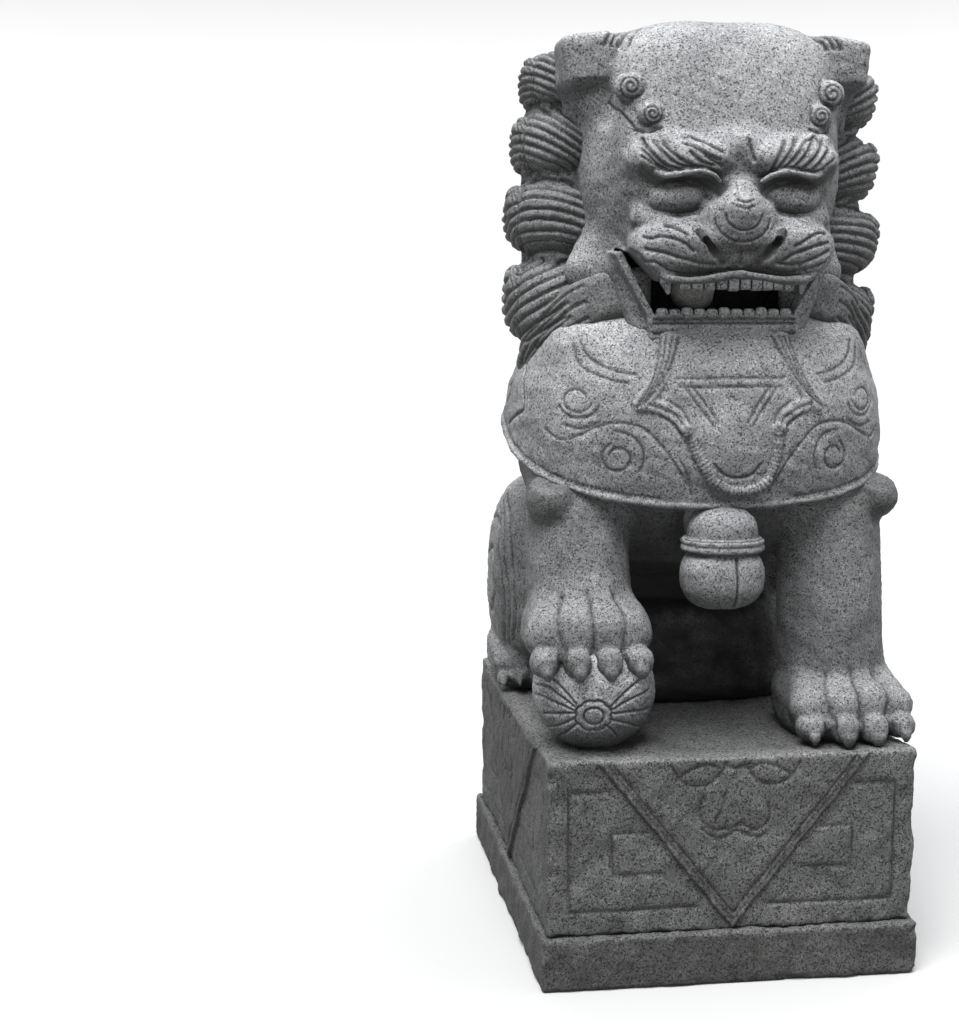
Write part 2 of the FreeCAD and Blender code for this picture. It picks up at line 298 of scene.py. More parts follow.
# ---- skin: a mesh that lines are cut into ----
class Skin:
    """A carved surface. Each vertex has how far it is raised, how deep it is cut and how much painted shade
    and dirt darken it.
    """

    def __init__(self, name, points, triangles, quads):
        mesh = bpy.data.meshes.new(name)
        loops = np.concatenate([np.ravel(triangles), np.ravel(quads)]).astype(np.int32)
        sizes = np.concatenate([np.full(len(triangles), 3), np.full(len(quads), 4)]).astype(np.int32)
        mesh.vertices.add(len(points))
        mesh.vertices.foreach_set("co", np.ravel(points).astype(np.float32))
        mesh.loops.add(len(loops))
        mesh.loops.foreach_set("vertex_index", loops)
        mesh.polygons.add(len(sizes))
        mesh.polygons.foreach_set("loop_start", np.concatenate([[0], np.cumsum(sizes)[:-1]]).astype(np.int32))
        mesh.update(calc_edges=True)
        self.object = bpy.data.objects.new(name, mesh)
        bpy.context.scene.collection.objects.link(self.object)
        if volume(points, triangles, quads) < 0:
            mesh.flip_normals()
        self.mesh = mesh
        self.faces = triangles.tolist() + quads.tolist()
        self.triangle_count = len(triangles) + 2 * len(quads)
        count = len(points)
        self.points = np.empty(count * 3, np.float32)
        self.normals = np.empty(count * 3, np.float32)
        mesh.vertices.foreach_get("co", self.points)
        mesh.vertex_normals.foreach_get("vector", self.normals)
        self.points = self.points.reshape(-1, 3)
        self.normals = self.normals.reshape(-1, 3)
        self.raised = np.zeros(count)
        self.cut = np.zeros(count)
        self.shade_and_dirt = np.zeros(count)
        self.tree = KDTree(count)
        for index, point in enumerate(self.points):
            self.tree.insert(point, index)
        self.tree.balance()
        self.solid = BVHTree.FromPolygons(self.points.tolist(), self.faces)

    def cast(self, starts, along):
        """Where straight lines from the starts first meet the surface."""
        hits = [self.solid.ray_cast(Vector(p), Vector(along))[0] for p in starts]
        return np.array([tuple(h) for h in hits if h is not None]).reshape(-1, 3)

    def front(self, line, side=1):
        """(across, up) points laid on the surface as seen from the front."""
        return self.cast([(side * u, -0.6, v) for u, v in line], (0, 1, 0))

    def flank(self, line, side):
        """(depth, up) points laid on the surface as seen from one side."""
        return self.cast([(side * 0.6, u, v) for u, v in line], (-side, 0, 0))

    def snap(self, line):
        """The places of the surface that are nearest to a line in space, smoothed along it."""
        nearest = np.array([self.points[self.tree.find(place)[1]] for place in line])
        padded = np.pad(nearest, ((4, 4), (0, 0)), mode="edge")
        return np.mean([padded[i:i + len(nearest)] for i in range(9)], axis=0)

    def groove(self, line, width, depth, sharp=False, shade_and_dirt_share=1.0):
        """Cuts a groove along a line of places in space, and darkens it with painted shade."""
        for place in line:
            for _, index, gap in self.tree.find_range(place, width):
                share = 1 - gap / width
                share = share ** 1.4 if sharp else share * share * (3 - 2 * share)
                self.cut[index] = max(self.cut[index], depth * share)
                # painted shade in the groove
                self.shade_and_dirt[index] = max(self.shade_and_dirt[index], shade_and_dirt_share * share)

    def etch(self, line, side, width, depth, sharp=False, shade_and_dirt_share=1.0):
        """Cuts a groove along (across, up) points laid on the surface as seen from the front."""
        self.groove(self.front(line, side), width, depth, sharp, shade_and_dirt_share)

    def part(self, line, width, depth):
        """Parts strands, curls or toes with a sharp groove along the line's nearest places on the surface."""
        self.groove(self.snap(line), width, depth, sharp=True)

    def welt(self, line, width, height):
        """Raises a round welt along a line of places in space."""
        for place in line:
            for _, index, gap in self.tree.find_range(place, width):
                share = math.sqrt(1 - (gap / width) ** 2)
                self.raised[index] = max(self.raised[index], height * share)

    def add_shade_and_dirt(self, amount):
        """Darkens the stone at least this much, for painted shade and dirt; amount is one value, or one for
        each vertex.
        """
        self.shade_and_dirt = np.maximum(self.shade_and_dirt, amount)

    def weather(self, amount, seed):
        """Slight unevenness left by the chisel."""
        generator = np.random.default_rng(seed)
        for pitch, share in ((0.11, 1.0), (0.05, 0.6), (0.022, 0.35), (0.011, 0.25)):
            for _ in range(5):
                wave = generator.normal(size=3)
                wave *= 2 * math.pi / pitch / np.linalg.norm(wave)
                self.raised += amount * share * np.sin(self.points @ wave + generator.uniform(0, 6.3)) / 1.6

    def finish(self, *nodes, faces, body="statue", slot="granite_lion"):
        """Presses the carving in, thins the mesh to so many triangles, and hides the parts that it replaces.
        """
        places = self.points + self.normals * (self.raised - self.cut)[:, None]
        self.mesh.vertices.foreach_set("co", np.ravel(places).astype(np.float32))
        shade = self.mesh.attributes.new("shade_and_dirt", "FLOAT", "POINT")
        shade.data.foreach_set("value", self.shade_and_dirt.astype(np.float32))
        self.mesh.update()
        if self.triangle_count > faces:
            thinner = self.object.modifiers.new("thinner", "DECIMATE")
            thinner.ratio = faces / self.triangle_count
            thinned = self.object.evaluated_get(bpy.context.evaluated_depsgraph_get())
            mesh = bpy.data.meshes.new_from_object(thinned)
            self.object.modifiers.clear()
            self.object.data = mesh
            bpy.data.meshes.remove(self.mesh)
            self.mesh = mesh
        self.mesh.polygons.foreach_set("use_smooth", np.ones(len(self.mesh.polygons), bool))
        self.mesh.materials.append(STONE[slot])
        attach(self.object, body)
        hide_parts(*nodes)


def volume(points, triangles, quads):
    """Six times the signed volume, to tell which way the faces look."""
    corners = [triangles[:, [0, 1, 2]]] if len(triangles) else []
    corners += [quads[:, [0, 1, 2]], quads[:, [0, 2, 3]]]
    a, b, c = (points[np.vstack(corners)][:, i] for i in range(3))
    return float(np.einsum("ij,ij->", a, np.cross(b, c)))


def sculpt(name, clay):
    """The clay's surface as a skin, with painted shade already in the clefts where stone stands close by."""
    skin = Skin(name, *clay.polygons())
    # painted shade: darker where other stone stands close in front of the surface
    shade = 0
    for reach in (0.008, 0.016, 0.030):
        shade = shade + 1 - np.clip(clay.sample(skin.points + skin.normals * reach) / reach, 0, 1)
    skin.shade_and_dirt = 0.85 * smooth_step(shade / 3, 0.16, 0.85)
    return skin


# ---- stone ----
class Nodes:
    """Short calls for a material's node tree."""

    def __init__(self, name):
        self.material = bpy.data.materials.new(name)
        self.material.use_nodes = True
        self.tree = self.material.node_tree
        self.shader = self.tree.nodes["Principled BSDF"]

    def new(self, kind, inputs=None, **settings):
        node = self.tree.nodes.new("ShaderNode" + kind)
        for key, value in settings.items():
            setattr(node, key, value)
        for socket, value in (inputs or {}).items():
            if hasattr(value, "is_output"):
                self.tree.links.new(value, node.inputs[socket])
            else:
                node.inputs[socket].default_value = value
        return node

    def mix(self, factor, a, b, blend="MIX"):
        """Mixes two colours; factor, a and b may be sockets or values."""
        node = self.new("Mix", {"Factor": factor}, data_type="RGBA", blend_type=blend)
        for index, value in ((6, a), (7, b)):
            if hasattr(value, "is_output"):
                self.tree.links.new(value, node.inputs[index])
            else:
                node.inputs[index].default_value = (*value, 1)
        return node.outputs[2]

    def math(self, operation, a, b=0.0, clamp=False):
        return self.new("Math", {0: a, 1: b}, operation=operation, use_clamp=clamp).outputs[0]

    def ramp(self, value, low, high, out_low=0.0, out_high=1.0):
        node = self.new("MapRange", {"Value": value, "From Min": low, "From Max": high,
                                     "To Min": out_low, "To Max": out_high})
        return node.outputs["Result"]

    def noise(self, place, scale, detail, roughness=0.6):
        return self.new("TexNoise", {"Vector": place, "Scale": scale, "Detail": detail,
                                     "Roughness": roughness}).outputs["Fac"]

    def crystals(self, place, scale):
        """Two random values, the same all over each crystal."""
        colour = self.new("TexVoronoi", {"Vector": place, "Scale": scale}).outputs["Color"]
        split = self.new("SeparateColor", {"Color": colour})
        return split.outputs[0], split.outputs[1]


def granite(name, pale, dark, flecks, rough, bump):
    """Fine granite: feldspar and quartz crystals about 2 mm across, with flecks of dark mica among them, and
    painted light and shade over it.
    """
    n = Nodes(name)
    place = n.new("TexCoord").outputs["Object"]
    wander = n.new("TexNoise", {"Vector": place, "Scale": 300.0, "Detail": 1.0}).outputs["Color"]
    bent = n.mix(0.003, place, wander)
    large, other = n.crystals(bent, 440.0)
    small, spare = n.crystals(bent, 760.0)
    mid = [c * 0.58 for c in pale]
    bright = [min(1.0, c * 1.45) for c in pale]

    colour = n.mix(n.ramp(small, 0.1, 0.9), mid, pale)
    colour = n.mix(n.ramp(other, 0.86, 0.90, 0.0, 0.6), colour, bright)
    colour = n.mix(n.ramp(large, 1 - flecks, 1.03 - flecks, 0.0, 0.85), colour, dark)
    colour = n.mix(n.ramp(spare, 1 - flecks, 1.03 - flecks, 0.0, 0.7), colour, dark)

    clouds = n.mix(n.ramp(n.noise(place, 7.0, 5.0), 0.32, 0.68), (0.78, 0.78, 0.79), (1.14, 1.14, 1.13))
    colour = n.mix(1.0, colour, clouds, "MULTIPLY")
    rust = n.ramp(n.noise(place, 9.0, 6.0, 0.7), 0.62, 0.80, 0.0, 0.22)
    colour = n.mix(rust, colour, (0.20, 0.155, 0.095))
    # painted light and shade: what looks up is painted paler, and what looks down darker
    facing = n.new("SeparateXYZ", {0: n.new("NewGeometry").outputs["Normal"]}).outputs["Z"]
    colour = n.mix(1.0, colour, n.ramp(facing, -0.45, 0.80, 0.24, 1.52), "MULTIPLY")

    # painted highlight: convex edges are painted paler
    edge = n.new("NewGeometry").outputs["Pointiness"]
    colour = n.mix(n.ramp(edge, 0.52, 0.62, 0.0, 0.28), colour, bright)
    # painted shade and dirt from the vertex attribute, and painted shade in concave creases, mix the colour
    # towards near black
    shade_and_dirt = n.new("Attribute", attribute_name="shade_and_dirt").outputs["Fac"]
    patchy = n.ramp(n.noise(place, 22.0, 4.0), 0.3, 0.7, 0.85, 1.15)
    shade_and_dirt_share = n.math("MAXIMUM", n.math("MULTIPLY", shade_and_dirt, patchy), n.ramp(edge, 0.49, 0.42, 0.0, 0.7))
    colour = n.mix(n.math("MULTIPLY", shade_and_dirt_share, 0.93, True), colour, (0.012, 0.012, 0.011))

    grit = n.noise(place, 520.0, 3.0, 0.7)
    pits = n.ramp(large, 0.80, 0.9, 1.0, 0.0)
    height = n.math("ADD", n.math("MULTIPLY", grit, 0.7), n.math("MULTIPLY", pits, 0.5))
    bumped = n.new("Bump", {"Height": height, "Strength": bump, "Distance": 0.0014}).outputs["Normal"]
    n.tree.links.new(colour, n.shader.inputs["Base Color"])
    n.tree.links.new(bumped, n.shader.inputs["Normal"])
    n.tree.links.new(n.ramp(small, 0.0, 1.0, rough - 0.1, rough + 0.06), n.shader.inputs["Roughness"])
    n.shader.inputs["Specular IOR Level"].default_value = 0.3
    return n.material


LOOKS = {  # colour of the feldspar and of the mica, share of mica, roughness, strength of the grain
    "granite_lion": ((0.316, 0.322, 0.328), (0.036, 0.036, 0.038), 0.15, 0.82, 0.55),
    "granite_base": ((0.162, 0.164, 0.163), (0.017, 0.017, 0.017), 0.20, 0.86, 0.75),
    "granite_loose_ball": ((0.20, 0.205, 0.185), (0.040, 0.040, 0.038), 0.12, 0.7, 0.3),
}
STONE = {name: granite(name, *look) for name, look in LOOKS.items()}


# ---- head ----
MOUTH_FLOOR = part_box("mouth_ball")[0].z - 0.0003
JAW_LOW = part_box("lower_jaw")[0].z
LIP = 1.084  # underside of the upper lip, in the middle
EYE = (0.084, -0.300, 1.203)
BROW_RIM = ((0.032, -0.342, 1.226), (0.044, -0.350, 1.235), (0.062, -0.354, 1.240), (0.080, -0.352, 1.239),
            (0.098, -0.347, 1.236), (0.116, -0.338, 1.235), (0.131, -0.326, 1.244), (0.148, -0.308, 1.256))
BROW_CURLS = {-1: ((0.155, -0.268, 1.368), (0.127, -0.296, 1.326)),
              1: ((0.157, -0.266, 1.361), (0.133, -0.290, 1.326))}
CURL_REACH = (0.0250, 0.0200)
BROW_LINES = {  # cut into the brows, as (across, up)
    -1: (mm(34, 1256, 50, 1261, 65, 1269, 77, 1277, 88, 1282), mm(27, 1269, 43, 1276, 61, 1285, 73, 1290),
         mm(44, 1248, 59, 1251, 71, 1258, 80, 1268), mm(60, 1246, 77, 1248, 92, 1255, 107, 1268, 117, 1281),
         mm(76, 1245, 94, 1248, 109, 1257, 121, 1271, 129, 1286),
         mm(98, 1243, 115, 1248, 129, 1260, 139, 1275, 144, 1288),
         mm(114, 1243, 127, 1250, 138, 1262, 146, 1273), mm(28, 1247, 44, 1254, 58, 1262)),
    1: (mm(44, 1241, 51, 1258, 58, 1273, 65, 1287), mm(54, 1246, 64, 1259, 73, 1273, 81, 1285),
        mm(66, 1248, 78, 1261, 89, 1274, 98, 1287, 110, 1291), mm(80, 1248, 92, 1261, 104, 1277, 114, 1293),
        mm(94, 1246, 109, 1259, 121, 1274, 129, 1289), mm(110, 1244, 125, 1259, 137, 1275))}
BROW_LOCKS = (((0.042, -0.336, 1.254), (0.062, -0.334, 1.274), (0.080, -0.328, 1.290)),
              ((0.072, -0.338, 1.256), (0.095, -0.332, 1.272), (0.112, -0.322, 1.291)),
              ((0.098, -0.334, 1.252), (0.120, -0.322, 1.268), (0.136, -0.306, 1.290)))
JAW_EDGE = ((0.159, -0.256, 1.110), (0.136, -0.261, 1.068), (0.114, -0.263, 1.028), (0.109, -0.262, 0.998))
NOSTRIL = ((0.064, -0.344, 1.152), (0.054, -0.352, 1.137), (0.041, -0.356, 1.121), (0.027, -0.356, 1.107))


def jaw_half(z):
    """Half the width of the lower jaw: upright at the chin, then flaring up to the corners of the mouth."""
    return 0.116 + 0.55 * np.maximum(z - 1.018, 0)


def jaw_wall(z):
    """How thick the jaw is beside the trough: thinner where the plates stand up."""
    return 0.036 - 0.020 * smooth_step(z, 1.060, 1.085)


def jaw_rim(x):
    """Height of the jaw's rim: level in front, then up the inside of the flaring plates."""
    return np.maximum(1.030, 1.018 + (np.abs(x) - 0.103) / 0.55)


def lip_line(x):
    """Height of the upper lip's edge: it hangs lowest beside the middle and climbs to the corners."""
    x = np.abs(x)
    sag = 0.008 * np.sin(math.pi * np.minimum(x, 0.15) / 0.15) ** 2
    return LIP - sag + 0.046 * smooth_step(x, 0.105, 0.165)


def add_brow(clay):
    """A heavy brow over each eye, locks of hair on it, and the eyeball deep under its rim."""
    clay.eggs((0.086, -0.302, 1.260), (0.078, 0.050, 0.032), 2.3, (0, 0, 15), soft=0.020)
    clay.add(egg((0.004, -0.298, 1.282), (0.045, 0.036, 0.026)), 0.018)
    for lock in BROW_LOCKS:
        clay.limbs(lock, [0.013, 0.012, 0.009], 0.006)
    clay.limbs([(0.034, -0.322, 1.182), (0.085, -0.322, 1.158), (0.138, -0.285, 1.176)], 0.017, 0.014)
    clay.eggs((0.086, -0.362, 1.206), (0.057, 0.058, 0.034), 2.3, (0, 0, 12), soft=0.005, cut=True)
    clay.cut(egg((0.003, -0.364, 1.230), (0.034, 0.034, 0.027)), 0.012)
    clay.eggs(EYE, (0.048, 0.034, 0.0265), 2.2, soft=0.002)
    clay.limbs(curve(BROW_RIM, 0.010), 0.0034, 0.004)
    for side in SIDES:
        for (x, y, z), reach in zip(BROW_CURLS[side], CURL_REACH):
            clay.add(egg((side * x, y, z), (reach, 0.85 * reach, 0.93 * reach)), 0.005)
    clay.eggs((0.150, -0.304, 1.257), (0.011, 0.012, 0.010), soft=0.002)


def add_muzzle(clay):
    """The nose steps down from the bridge like an onion; the full lips beside it end in a rolled edge."""
    clay.eggs((0.080, -0.286, 1.125), (0.076, 0.070, 0.045), 2.8, (0, 0, 15), soft=0.010)
    clay.add(egg((0, -0.292, 1.116), (0.060, 0.056, 0.036), 2.4), 0.014)
    clay.add(egg((0, -0.318, 1.164), (0.060, 0.042, 0.046), 2.8), 0.008)
    clay.add(egg((0, -0.332, 1.175), (0.044, 0.034, 0.039), 2.4), 0.0015)
    clay.add(egg((0, -0.338, 1.181), (0.035, 0.031, 0.027), 2.2), 0.0015)
    clay.add(limb([(0.001, -0.290, 1.228), (0.001, -0.328, 1.202), (0, -0.334, 1.186)],
                  [0.018, 0.030, 0.035]), 0.012)
    clay.limbs([(0.086, -0.322, 1.160), (0.072, -0.341, 1.136), (0.050, -0.343, 1.110)],
               [0.008, 0.011, 0.008], 0.006)
    clay.limbs(NOSTRIL, [0.0045, 0.0062, 0.0062, 0.0040], 0.003, cut=True)


def add_jaw(clay):
    """The open mouth: lips, the flaring plates of the lower jaw and the trough that the ball rolls in."""
    clay.add(form(lambda x, y, z: meet(np.abs(x) - jaw_half(z), JAW_LOW - z, -0.266 - y, z - 1.125),
                  (-0.18, -0.28, 0.985), (0.18, -0.06, 1.13)), 0.004)
    clay.limbs([(0.150, -0.222, 1.104), (0.119, -0.226, 1.014)], [0.024, 0.023], 0.018)
    clay.limbs(JAW_EDGE, 0.0075, 0.006)
    clay.cut(form(lambda x, y, z: meet(z - lip_line(x), jaw_rim(x) - z, x - 0.150, -0.172 - x, y + 0.165),
                  (-0.175, -0.41, 1.02), (0.175, -0.15, 1.135)), 0.003)
    clay.cut(form(lambda x, y, z: meet(z - lip_line(x), 1.032 - z, y + 0.270),
                  (-0.175, -0.41, 1.02), (0.175, -0.265, 1.135)), 0.002)
    clay.cut(form(lambda x, y, z: meet(np.abs(x) - jaw_half(z) + jaw_wall(z), MOUTH_FLOOR - z,
                                       -0.252 - y, y + 0.150, z - 1.124),
                  (-0.15, -0.26, 1.02), (0.15, -0.14, 1.130)), 0.003)
    front = [(x, -0.354 + 4.2 * max(0, x - 0.045) ** 2) for x in np.linspace(0, 0.140, 15)]
    rim = [(x, y, float(lip_line(x)) + 0.0050) for x, y in front]
    rim += [(0.150, -0.292, 1.124), (0.156, -0.278, 1.128)]
    clay.limbs(rim, [0.0058] * 15 + [0.0040, 0.0020], 0.006)


def head_clay():
    clay = Clay((-0.29, -0.425, 0.955), (0.29, 0.085, 1.495), FINE)
    clay.add(egg((0, -0.098, 1.314), (0.205, 0.150, 0.160), 4))
    clay.add(egg((0, -0.176, 1.298), (0.176, 0.138, 0.166), 3.6, (-14, 0, 0)), 0.03)
    clay.add(egg((-0.062, -0.130, 1.449), (0.064, 0.10, 0.030)), 0.014)
    clay.add(egg((0.080, -0.130, 1.442), (0.095, 0.10, 0.034)), 0.014)
    clay.add(egg((0, -0.12, 1.20), (0.196, 0.120, 0.16), 4), 0.03)
    clay.add(egg((0, -0.05, 1.06), (0.165, 0.13, 0.13), 3), 0.03)
    clay.add(egg((0, -0.212, 1.185), (0.150, 0.105, 0.10), 3), 0.03)
    for side in SIDES:  # the cheek stands further out on the right
        cheek = [(0.172, -0.140, 1.160), (0.184 - 0.006 * side, -0.162, 1.098)]
        clay.add(limb(mirror(cheek, side), [0.026, 0.040]), 0.030)
    add_brow(clay)
    add_muzzle(clay)
    add_jaw(clay)
    for side in SIDES:  # ears: square blocks at the temples, level with the crown and undercut in front
        ear = on(side, (0.199 - 0.005 * side, -0.185, 1.415))
        clay.add(egg(ear, (0.043, 0.050, 0.040), 6, (0, side * 7, 0)), 0.008)
    clay.eggs((0.165, -0.150, 1.425), (0.035, 0.070, 0.036), 3, soft=0.012)
    clay.limbs([(0.205, -0.150, 1.390), (0.203, -0.135, 1.320), (0.198, -0.115, 1.250)],
               [0.034, 0.022, 0.012], 0.02)
    clay.eggs((0.212, -0.242, 1.342), (0.044, 0.038, 0.038), 2.6, soft=0.010, cut=True)
    return clay


def carve_brow(skin, side):
    """Hair combed up the brow, the rolled rim under it, and the curls above."""
    for line in BROW_LINES[side]:
        skin.etch(curve(line), side, 0.0056, 0.0050, sharp=True)
    rim = [(x, z + 0.0068) for x, y, z in BROW_RIM]
    skin.etch(curve(rim), side, 0.0034, 0.0026)
    for (x, y, z), reach in zip(BROW_CURLS[side], CURL_REACH):
        # the curls' grooves get a little less painted shade
        skin.etch(spiral((x, z), 0.86 * reach, 2.1, 2.6, 1, 0.14), side, 0.0034, 0.0026, shade_and_dirt_share=0.8)
    skin.etch(curve(mm(174, 1350, 163, 1330, 150, 1308)), side, 0.0042, 0.0026)
    skin.etch(curve(mm(150, 1304, 134, 1300, 114, 1306)), side, 0.0042, 0.0030)
    for k in range(4):  # hair that runs over the inner top of the ear
        u = 0.186 - 0.012 * k
        lock = curve([(u, 1.434), (u - 0.010, 1.452), (u - 0.026, 1.466)])
        skin.etch(lock, side, 0.0060, 0.0045, sharp=True)


WHISKERS = {  # lines of the lips, as (across, up)
    -1: (mm(144, 1146, 134, 1143, 122, 1146, 104, 1143, 88, 1135, 75, 1124),
         mm(142, 1127, 130, 1124, 115, 1121, 98, 1115, 80, 1110, 62, 1105, 41, 1104),
         mm(139, 1109, 127, 1107, 111, 1097, 93, 1092, 70, 1089, 48, 1091, 17, 1098),
         mm(112, 1162, 97, 1158, 83, 1149)),
    1: (mm(137, 1152, 124, 1153, 109, 1147, 94, 1138, 80, 1131),
        mm(140, 1138, 115, 1132, 97, 1126, 77, 1119, 62, 1110),
        mm(140, 1125, 116, 1115, 97, 1108, 77, 1104, 54, 1106),
        mm(136, 1108, 110, 1099, 88, 1094, 61, 1093, 38, 1097))}


def carve_face(skin):
    """Brows, whisker lines, nostrils, eyelid lines with painted shadow under the brows, folds of the nose and
    the rim of the chin.
    """
    for side in SIDES:
        carve_brow(skin, side)
        for line in WHISKERS[side]:
            skin.etch(curve(line), side, 0.0044, 0.0052, sharp=True)
        # nostril slits, with a wide band of painted shade round them
        slit = [(x, z) for x, y, z in NOSTRIL]
        skin.etch(curve(slit), side, 0.0150, 0.0040)
        # shallow eyelid lines under the brow rim, darkened as painted shadow
        for drop in (0.0100, 0.0170):
            lid_shadow_line = [(x - 0.002, z - drop) for x, y, z in BROW_RIM]
            skin.etch(curve(lid_shadow_line), side, 0.0120, 0.0008, shade_and_dirt_share=0.9)
    skin.etch(curve(mm(15, 1286, 16, 1270, 19, 1257)), 1, 0.0055, 0.0055, sharp=True)
    skin.etch(curve(mm(0, 1124, 0, 1104)), 1, 0.0060, 0.0030)
    for reach, drop, level in ((0.0285, 0.0250, 1.1790), (0.0425, 0.0370, 1.1745)):
        skin.etch(arc((0, level), (reach, -drop), 0.1, math.pi - 0.1, 60), 1, 0.0036, 0.0026)
    for level, wide in ((1.190, 0.014), (1.199, 0.012)):
        skin.etch(curve([(-wide, level), (0, level - 0.004), (wide, level)]), 1, 0.0034, 0.0020)
    for level, depth in ((1.0005, 0.0040), (1.0165, 0.0040), (1.0225, 0.0030)):
        skin.etch([(u, level) for u in np.arange(-0.112, 0.112, 0.0014)], 1, 0.0036, depth)
    paint_face_shade(skin)


def paint_face_shade(skin):
    """Painted shade inside the mouth, where nothing lights it, and painted shade over the lips and the front
    of the jaw.
    """
    x, y, z = skin.points.T
    within = smooth_step(jaw_half(z) - np.abs(x), 0.004, 0.014)
    within *= fall(np.abs(y + 0.19), 0.050, 0.0605)
    plates = 0.035 * smooth_step(np.abs(x), 0.085, 0.115)
    within *= smooth_step(y - plates, -0.2560, -0.2490) * (z > 1.026) * (z < 1.128)
    skin.add_shade_and_dirt(1.3 * within)
    # painted shade over the lips and the front of the jaw
    lips = fall(y, -0.300, -0.255) * fall(np.abs(z - 1.085), 0.045, 0.075)
    skin.add_shade_and_dirt(0.66 * lips * fall(np.abs(x), 0.06, 0.15))


def make_head():
    skin = sculpt("lion_head", head_clay())
    carve_face(skin)
    skin.weather(0.0006, 11)
    skin.finish("cranium", "muzzle", "throat", "lower_jaw", "nose", "neck", "eye_right", "eye_left",
                "brow_right", "brow_left", "brow_curls_right", "brow_curls_left", "ear_right", "ear_left",
                faces=170000)


def make_teeth():
    """An even row of square upper teeth between two fangs, and a row of low ones on the jaw."""
    clay = Clay((-0.125, -0.375, 1.040), (0.125, -0.29, 1.110), TINY)
    for i in range(10):
        x = (i - 4.5) * 0.0176
        low, high = 1.0665 + 0.0012 * math.sin(2.7 * i), 1.089
        tooth = (x, -0.340 + 2.2 * x * x, (low + high) / 2)
        clay.add(egg(tooth, (0.0080, 0.0085, (high - low) / 2), 6, (0, 0, 90 * x)))
    fang = [(0.103, -0.316, 1.098), (0.105, -0.316, 1.080), (0.103, -0.320, 1.064)]
    clay.limbs(fang, [0.011, 0.0095, 0.0036])
    sculpt("upper_teeth_carved", clay).finish("upper_teeth", "fangs", faces=14000)
    clay = Clay((-0.125, -0.295, 1.010), (0.125, -0.24, 1.060), TINY)
    for i in range(11):
        x = (i - 5) * 0.0195
        clay.add(egg((x, -0.2615, 1.031), (0.0094, 0.0080, 0.0090 + 0.0014 * math.sin(4.1 * i)), 3))
    sculpt("lower_teeth_carved", clay).finish("lower_teeth", faces=10000)


def make_mouth_ball():
    low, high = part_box("mouth_ball")
    centre = np.array((low + high) / 2)
    radius = (high.z - low.z) / 2 - 0.0004
    clay = Clay(centre - radius - 0.006, centre + radius + 0.006, TINY)
    clay.add(egg(centre, (radius,) * 3))
    skin = sculpt("loose_mouth_ball", clay)
    # less painted shade on the loose ball
    skin.shade_and_dirt *= 0.4
    skin.cut += 0.0004 * (1 + np.sin(skin.points @ np.array((210.0, 160.0, 190.0))))
    skin.finish("mouth_ball", faces=8000, body="mouth_ball", slot="granite_loose_ball")


# ---- mane ----
LOBES = {  # from the top: lowest and highest level, how far it reaches out, rise and arch of its strands
    -1: ((1.350, 1.444, 0.284, 1.45, 0.10), (1.243, 1.352, 0.300, 1.25, 0.15),
         (1.120, 1.245, 0.309, -0.10, 0.50), (0.972, 1.122, 0.309, -1.30, 0.30)),
    1: ((1.318, 1.428, 0.297, 1.20, 0.10), (1.203, 1.320, 0.304, 0.55, 0.25),
        (1.086, 1.205, 0.307, -0.70, 0.35), (0.948, 1.088, 0.303, -1.90, 0.20))}
STRANDS = 7
ROOT = (0.205, -0.045)  # the middle of each lobe, across and in depth
DEPTH = 0.122


def strand(lobe, share):
    """A line between strands, from the side of the face round the bulge of its lobe."""
    low, high, reach, rise, arch = lobe
    line = []
    for t in np.linspace(0, 1, 26):
        level = 1.75 * (share - 0.5) + rise * math.sin(min(1.57, 2.2 * t))
        level += arch * math.sin(math.pi * min(1, 1.3 * t))
        if abs(level) > 0.97:
            if line:
                break
            continue
        angle = math.radians(-18 + 150 * t)
        ring = (1 - abs(level) ** 3) ** (1 / 3)
        line.append((ROOT[0] + (reach - ROOT[0]) * ring * math.sin(angle),
                     ROOT[1] - DEPTH * ring * math.cos(angle), (low + high) / 2 + (high - low) / 2 * level))
    return line


def lobe_curl(lobe):
    """Centre and radii of the curl at the outer end of a lobe."""
    low, high, reach = lobe[:3]
    return (reach - 0.021, -0.080, low + 0.57 * (high - low)), (0.024, 0.034, 0.34 * (high - low))


BAND = np.array(((0.120, -0.212, 1.086), (0.168, -0.206, 1.084), (0.212, -0.184, 1.068),
                 (0.252, -0.146, 1.032), (0.276, -0.106, 0.990), (0.284, -0.076, 0.950)))
BAND_DROP = np.array(((0, 0, 0.045), (0, 0, 0.050), (0, 0, 0.054),
                      (0.006, 0, 0.058), (0.012, 0, 0.050), (0.020, 0, 0.026)))


def jaw_band(share):
    """A line along the band from the jaw's plate to the lowest lobe: share 0 at its top, 1 at its bottom."""
    return curve(BAND - BAND_DROP * share, 0.008)


def curl_turn(lobe, turn):
    """One turn of a lobe's curl, seen edge on from the front."""
    centre, radii = lobe_curl(lobe)
    tilt = (turn - 1.6) * 0.42
    line = []
    for a in np.linspace(-1.3, 1.3, 60):
        bulge = math.sin(tilt) + 0.9 * math.cos(tilt) * math.cos(a) * 0.25
        line.append((centre[0] + radii[0] * bulge + 0.012 * math.sin(a),
                     centre[1] - radii[1] * math.cos(tilt) * abs(math.cos(a)),
                     centre[2] + radii[2] * math.sin(a)))
    return line


